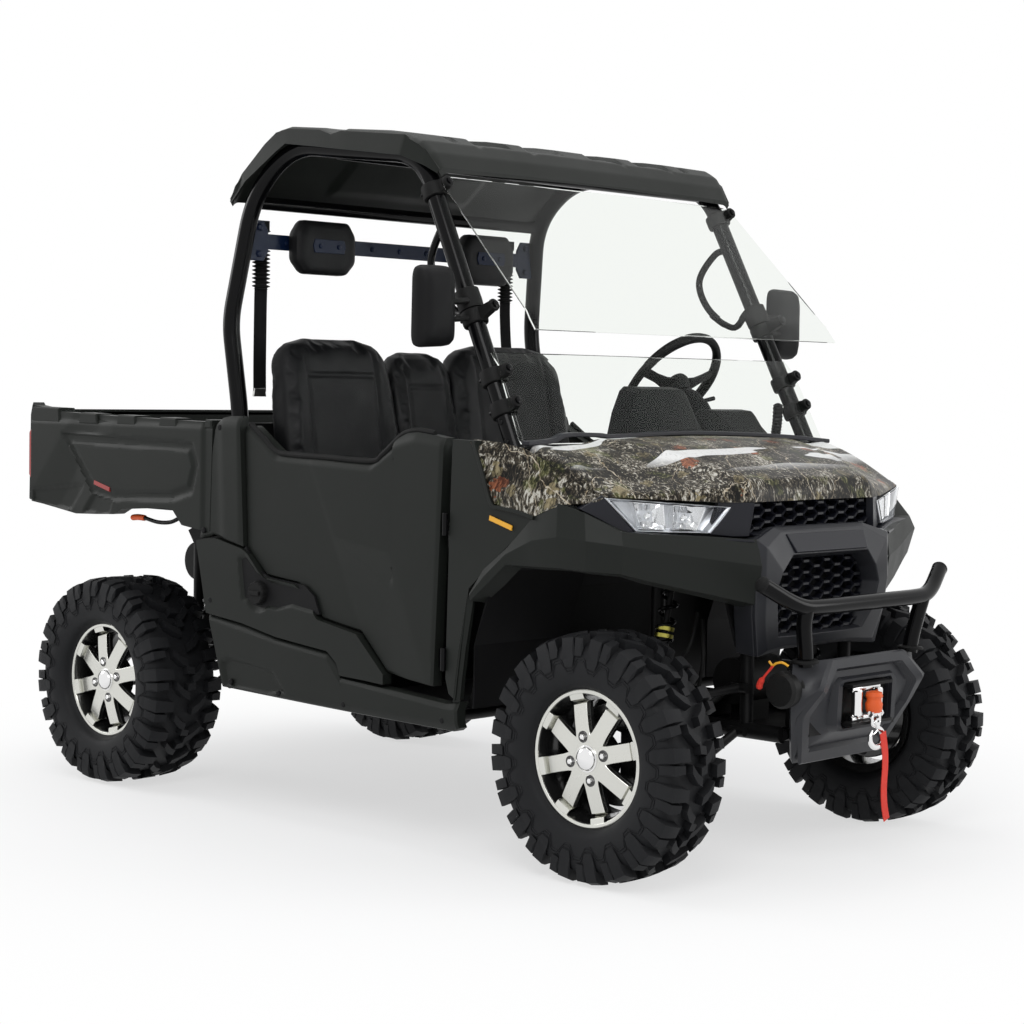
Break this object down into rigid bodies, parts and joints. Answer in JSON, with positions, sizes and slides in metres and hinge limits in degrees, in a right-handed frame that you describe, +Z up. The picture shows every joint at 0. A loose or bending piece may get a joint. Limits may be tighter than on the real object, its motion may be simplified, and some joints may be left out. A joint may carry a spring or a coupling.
{
  "type": "side by side utility vehicle",
  "caption": "Three-seat side by side utility vehicle with roll cage, roof, clear windshield, winch, bumper and tilting dump bed.",
  "frame": {"origin": "on the ground, midway between the ends and between the sides", "axes": "+X forward, +Y to the machine's left, +Z up"},
  "size_m": [2.81, 1.626, 1.958],
  "materials": {
    "tyre": "matte",
    "rim": "machined",
    "black_tube": "gloss",
    "chassis": "satin",
    "charcoal": "matte",
    "dark_trim": "matte",
    "camo": "gloss",
    "seat": "satin",
    "headrest": "satin",
    "belt": "matte",
    "clear": "gloss",
    "lens": "gloss",
    "lamp_red": "gloss",
    "mirror_shell": "matte",
    "steel": "satin",
    "iron": "matte",
    "strap": "matte",
    "rubber": "matte",
    "radiator": "matte"
  },
  "bodies": {
    "chassis": {"brush_guard": "black_tube", "bumper": "charcoal", "cage": "black_tube", "dash": "dark_trim", "drive_shafts": "steel", "engine": "iron", "exhaust": "steel", "fascia": "charcoal", "fender_left": "charcoal", "fender_right": "charcoal", "floor": "dark_trim", "frame": "chassis", "front_suspension": "chassis", "fuel_cap": "dark_trim", "grille": "dark_trim", "headlamps": "lens", "headrests": "headrest", "hood_side_left": "charcoal", "hood_side_right": "charcoal", "hook_strap": "strap", "mirrors": "mirror_shell", "quarter_left": "charcoal", "quarter_right": "charcoal", "radiator": "radiator", "rear_suspension": "chassis", "rocker_left": "charcoal", "rocker_right": "charcoal", "roof": "charcoal", "seat_backs": "seat", "seat_belts": "belt", "seat_cushions": "seat", "shocks": "steel", "wheel_liners": "dark_trim", "winch": "dark_trim", "windshield_clamps": "dark_trim", "windshield_lower": "clear", "windshield_upper": "clear"},
    "wheel_front_right": {"tyre_front_right": "tyre", "rim_front_right": "rim"},
    "wheel_rear_right": {"tyre_rear_right": "tyre", "rim_rear_right": "rim"},
    "knuckle_right": {"knuckle_right": "iron"},
    "door_right": {"door_right": "charcoal"},
    "wheel_front_left": {"tyre_front_left": "tyre", "rim_front_left": "rim"},
    "wheel_rear_left": {"tyre_rear_left": "tyre", "rim_rear_left": "rim"},
    "knuckle_left": {"knuckle_left": "iron"},
    "door_left": {"door_left": "charcoal"},
    "rack": {"tie_rod": "steel"},
    "steering_wheel": {"steering_wheel": "rubber"},
    "hood": {"hood": "camo"},
    "bed": {"bed": "charcoal", "tail_lamps": "lamp_red", "bed_latch": "black_tube"},
    "tailgate": {"tailgate": "charcoal"}
  },
  "joints": [
    {"name": "steer_right", "type": "hinge", "parent": "chassis", "child": "knuckle_right", "pos_m": [0.9685, -0.49, 0.315], "axis": [0, 0, 1], "range_deg": [-28, 28]},
    {"name": "steer_left", "type": "hinge", "parent": "chassis", "child": "knuckle_left", "pos_m": [0.9685, 0.49, 0.315], "axis": [0, 0, 1], "range_deg": [-28, 28]},
    {"name": "roll_front_right", "type": "hinge", "parent": "knuckle_right", "child": "wheel_front_right", "pos_m": [0.9685, -0.591, 0.315], "axis": [0, 1, 0], "continuous": true},
    {"name": "roll_rear_right", "type": "hinge", "parent": "chassis", "child": "wheel_rear_right", "pos_m": [-0.9685, -0.609, 0.315], "axis": [0, 1, 0], "continuous": true},
    {"name": "roll_front_left", "type": "hinge", "parent": "knuckle_left", "child": "wheel_front_left", "pos_m": [0.9685, 0.591, 0.315], "axis": [0, 1, 0], "continuous": true},
    {"name": "roll_rear_left", "type": "hinge", "parent": "chassis", "child": "wheel_rear_left", "pos_m": [-0.9685, 0.609, 0.315], "axis": [0, 1, 0], "continuous": true},
    {"name": "rack_slide", "type": "slide", "parent": "chassis", "child": "rack", "axis": [0, 1, 0], "range_m": [-0.05, 0.05]},
    {"name": "steering_turn", "type": "hinge", "parent": "chassis", "child": "steering_wheel", "pos_m": [0.392, 0.345, 1.25], "axis": [-0.788, 0, 0.6157], "range_deg": [-285, 285]},
    {"name": "door_right_swing", "type": "hinge", "parent": "chassis", "child": "door_right", "pos_m": [0.5035, -0.705, 0.85], "axis": [0, 0, 1], "range_deg": [0, 65]},
    {"name": "door_left_swing", "type": "hinge", "parent": "chassis", "child": "door_left", "pos_m": [0.5035, 0.705, 0.85], "axis": [0, 0, -1], "range_deg": [0, 65]},
    {"name": "hood_lift", "type": "hinge", "parent": "chassis", "child": "hood", "pos_m": [1.161, 0, 0.9441], "axis": [0, 1, 0], "range_deg": [0, 55]},
    {"name": "bed_tilt", "type": "hinge", "parent": "chassis", "child": "bed", "pos_m": [-1.165, 0, 0.803], "axis": [0, -1, 0], "range_deg": [0, 40]},
    {"name": "tailgate_drop", "type": "hinge", "parent": "bed", "child": "tailgate", "pos_m": [-1.333, 0, 0.896], "axis": [0, -1, 0], "range_deg": [0, 90]}
  ],
  "couplings": [
    {"joint": "steer_left", "follows": "steer_right", "ratio": 1},
    {"joint": "rack_slide", "follows": "steer_right", "m_per_rad": -0.1},
    {"joint": "steering_turn", "follows": "steer_right", "ratio": 10}
  ]
}
